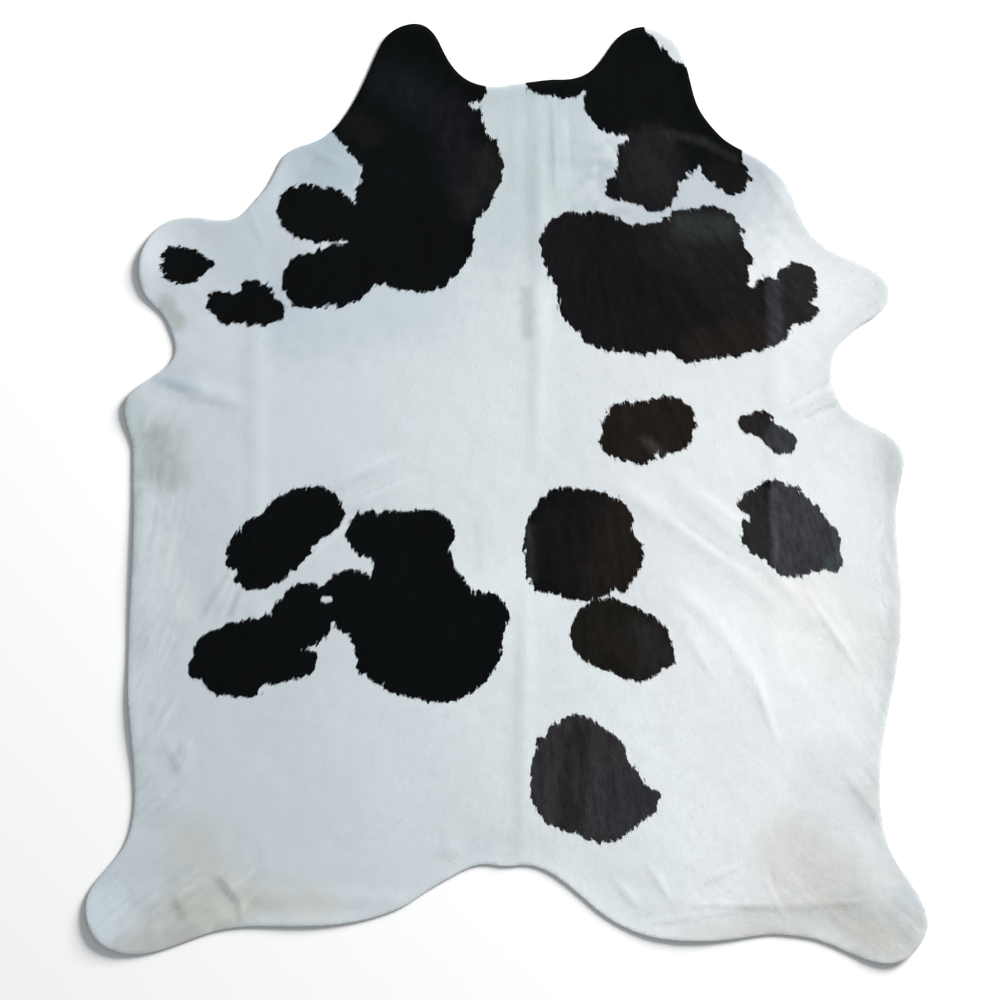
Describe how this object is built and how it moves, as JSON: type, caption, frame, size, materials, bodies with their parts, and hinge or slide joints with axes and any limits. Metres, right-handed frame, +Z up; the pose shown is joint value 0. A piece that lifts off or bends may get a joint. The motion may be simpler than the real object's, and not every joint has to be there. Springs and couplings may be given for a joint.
{
  "type": "cowhide rug",
  "caption": "Flat whole-hide rug of short-haired cattle leather, trimmed to the animal's outline, white with irregular black patches.",
  "frame": {"origin": "on the floor, under the middle of the hide's box", "axes": "+Y from the tail to the neck, +X to the right of it with the hair side up, +Z up from the floor"},
  "size_m": [1.972, 2.2, 0.0155],
  "materials": {
    "hair_coat": "short glossy hair on leather, white with a cool cast and black patches, suede flesh side"
  },
  "bodies": {
    "root": {"hide": "hair_coat"}
  },
  "joints": []
}
